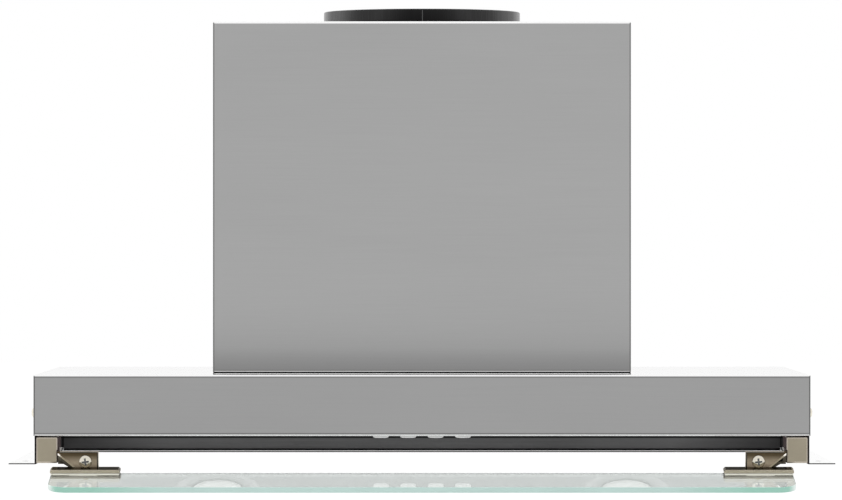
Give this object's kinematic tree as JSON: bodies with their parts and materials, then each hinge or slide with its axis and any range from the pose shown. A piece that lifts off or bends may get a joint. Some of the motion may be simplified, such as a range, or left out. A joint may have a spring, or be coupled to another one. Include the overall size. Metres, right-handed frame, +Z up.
{
  "type": "built-in range hood",
  "caption": "Slim built-in kitchen range hood: steel canopy with a tilting glass visor, push buttons, lamps and grease filters under a motor box with a round duct collar.",
  "frame": {"origin": "middle of the four mounting holes, on the upper face of the two side flanges", "axes": "+X to the viewer's right along the front, +Y towards the wall, +Z up along the duct collar"},
  "size_m": [0.598, 0.3546, 0.3527],
  "materials": {
    "brushed_canopy": "fine horizontal brushed stainless steel",
    "bright_wall": "plain mill-finish stainless sheet",
    "brushed_box": "fine brushed galvanised sheet",
    "screw_steel": "bright zinc-plated screws",
    "satin_nickel": "warm satin nickel plating",
    "clamp_rubber": "thin black rubber",
    "visor_pane": "clear float glass with a green polished edge",
    "lamp_ring": "satin turned steel",
    "lamp_diffuser": "frosted white diffuser",
    "lamp_sink": "plain aluminium",
    "white_key": "smooth white plastic",
    "dark_plastic": "matt black plastic",
    "filter_aluminium": "plain aluminium frame and mesh",
    "black_collar": "black moulded plastic",
    "flap_plastic": "dark moulded plastic",
    "pin_steel": "bright drawn steel",
    "scroll_plastic": "dark grey moulded plastic",
    "motor_casing": "grey painted pressed steel",
    "motor_iron": "bare electrical steel",
    "capacitor_case": "white plastic can"
  },
  "bodies": {
    "hood": {"back_wall": "bright_wall", "canopy_cover": "brushed_canopy", "capacitor": "capacitor_case", "collar_flange": "black_collar", "cover_screws": "screw_steel", "duct_collar": "black_collar", "filter_supports": "dark_plastic", "flap_pin": "pin_steel", "gland_plate": "brushed_box", "hinge_block_screws": "screw_steel", "lamp_bezels": "lamp_ring", "lamp_housings": "lamp_sink", "lamp_lenses": "lamp_diffuser", "lamp_panel": "brushed_canopy", "left_hinge_block": "satin_nickel", "left_scroll_half": "scroll_plastic", "left_side_wall": "bright_wall", "mains_gland": "dark_plastic", "motor_bearings": "pin_steel", "motor_box_back": "brushed_box", "motor_box_screws": "screw_steel", "motor_box_top": "brushed_box", "motor_box_wrap": "brushed_box", "motor_left_bell": "motor_casing", "motor_right_bell": "motor_casing", "motor_spider": "motor_casing", "motor_stator": "motor_iron", "right_hinge_block": "satin_nickel", "right_scroll_half": "scroll_plastic", "right_side_wall": "bright_wall", "spider_screws": "screw_steel", "switch_unit": "dark_plastic", "terminal_box": "dark_plastic", "terminal_box_lid": "dark_plastic"},
    "visor": {"left_visor_arm": "satin_nickel", "right_visor_arm": "satin_nickel", "hinge_pins": "satin_nickel", "left_clamp_jaw": "satin_nickel", "right_clamp_jaw": "satin_nickel", "lower_clamp_jaws": "satin_nickel", "clamp_pads": "clamp_rubber", "arm_screws": "screw_steel", "clamp_screws": "screw_steel", "visor_glass": "visor_pane"},
    "left_filter": {"left_filter_frame": "filter_aluminium", "left_filter_mesh": "filter_aluminium"},
    "right_filter": {"right_filter_frame": "filter_aluminium", "right_filter_mesh": "filter_aluminium"},
    "left_latch": {"left_filter_latch": "dark_plastic"},
    "right_latch": {"right_filter_latch": "dark_plastic"},
    "wheel": {"impeller": "scroll_plastic", "motor_rotor": "motor_iron", "motor_shaft": "pin_steel"},
    "front_flap": {"front_damper_flap": "flap_plastic"},
    "rear_flap": {"rear_damper_flap": "flap_plastic"},
    "button_body_1": {"button_1": "white_key"},
    "button_body_2": {"button_2": "white_key"},
    "button_body_3": {"button_3": "white_key"},
    "button_body_4": {"button_4": "white_key"}
  },
  "joints": [
    {"name": "visor_tilt", "type": "hinge", "parent": "hood", "child": "visor", "pos_m": [0, -0.14, 0.0075], "axis": [1, 0, 0], "range_deg": [0, 95]},
    {"name": "left_filter_swing", "type": "hinge", "parent": "hood", "child": "left_filter", "pos_m": [-0.1397, 0.1388, 0.0273], "axis": [1, 0, 0], "range_deg": [0, 60]},
    {"name": "left_latch_slide", "type": "slide", "parent": "left_filter", "child": "left_latch", "axis": [0, 1, 0], "range_m": [0, 0.004], "stiffness_N_per_m": 300, "springref_m": -0.002},
    {"name": "right_filter_swing", "type": "hinge", "parent": "hood", "child": "right_filter", "pos_m": [0.1397, 0.1388, 0.0273], "axis": [1, 0, 0], "range_deg": [0, 60]},
    {"name": "right_latch_slide", "type": "slide", "parent": "right_filter", "child": "right_latch", "axis": [0, 1, 0], "range_m": [0, 0.004], "stiffness_N_per_m": 300, "springref_m": -0.002},
    {"name": "button_1_press", "type": "slide", "parent": "hood", "child": "button_body_1", "axis": [0, 0, 1], "range_m": [0, 0.0015], "stiffness_N_per_m": 500, "springref_m": -0.0005},
    {"name": "button_2_press", "type": "slide", "parent": "hood", "child": "button_body_2", "axis": [0, 0, 1], "range_m": [0, 0.0015], "stiffness_N_per_m": 500, "springref_m": -0.0005},
    {"name": "button_3_press", "type": "slide", "parent": "hood", "child": "button_body_3", "axis": [0, 0, 1], "range_m": [0, 0.0015], "stiffness_N_per_m": 500, "springref_m": -0.0005},
    {"name": "button_4_press", "type": "slide", "parent": "hood", "child": "button_body_4", "axis": [0, 0, 1], "range_m": [0, 0.0015], "stiffness_N_per_m": 500, "springref_m": -0.0005},
    {"name": "wheel_spin", "type": "hinge", "parent": "hood", "child": "wheel", "pos_m": [0, 0.0555, 0.176], "axis": [1, 0, 0], "continuous": true},
    {"name": "front_flap_lift", "type": "hinge", "parent": "hood", "child": "front_flap", "pos_m": [0, 0.0395, 0.3285], "axis": [-1, 0, 0], "range_deg": [0, 78]},
    {"name": "rear_flap_lift", "type": "hinge", "parent": "hood", "child": "rear_flap", "pos_m": [0, 0.0395, 0.3285], "axis": [1, 0, 0], "range_deg": [0, 78]}
  ]
}
